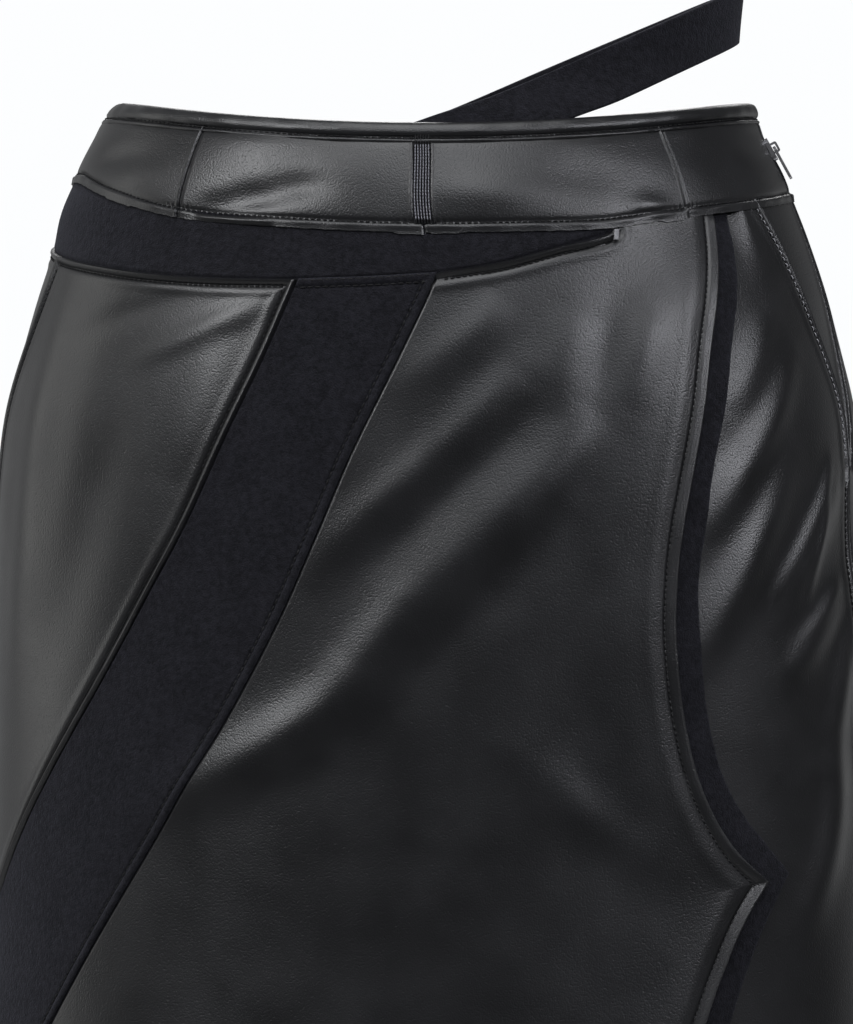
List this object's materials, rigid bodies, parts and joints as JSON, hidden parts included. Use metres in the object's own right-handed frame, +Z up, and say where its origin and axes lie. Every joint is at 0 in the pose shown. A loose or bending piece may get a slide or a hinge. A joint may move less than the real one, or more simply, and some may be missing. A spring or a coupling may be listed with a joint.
{
  "type": "asymmetric midi skirt",
  "caption": "Worn-form midi skirt of imitation leather with a wool yoke, diagonal wool band, curved wrap edge, tilted wool strap and a side zip; open at waist and hem.",
  "frame": {"origin": "middle of the waist opening, level with the waist edge at the sides", "axes": "+X is on the right seen from the front (the wearer's left), the front faces -Y, +Z is up along the wearer"},
  "size_m": [0.4251, 0.3237, 0.8619],
  "materials": {
    "imitation_leather": "semi-gloss charcoal black imitation leather with a fine pebble grain",
    "wool": "matt near-black felted wool with a fine nap",
    "zip_metal": "dull grey nickel on the zip's slider and pull tab"
  },
  "bodies": {
    "skirt": {"waistband_front_left": "imitation_leather", "waistband_front_right": "imitation_leather", "waistband_side_left": "imitation_leather", "waistband_side_right": "imitation_leather", "waistband_back_left": "imitation_leather", "waistband_back_right": "imitation_leather", "waist_binding_front": "imitation_leather", "waist_binding_back": "imitation_leather", "centre_front_ridges": "imitation_leather", "panel_front_left": "imitation_leather", "panel_front_centre": "imitation_leather", "panel_front_right": "imitation_leather", "panel_hip_right": "imitation_leather", "panel_back_left": "imitation_leather", "panel_back_right": "imitation_leather", "yoke_wool": "wool", "band_wool_diagonal": "wool", "edge_wool_strip": "wool", "strap_wool": "wool", "zip_slider": "zip_metal"},
    "pull_tab": {"zip_pull_tab": "zip_metal"}
  },
  "joints": [
    {"name": "pull_tab_swing", "type": "hinge", "parent": "skirt", "child": "pull_tab", "pos_m": [0.13878, -0.01089, -0.01825], "axis": [-0.1283, -0.9913, -0.0309], "range_deg": [0, 150]}
  ]
}
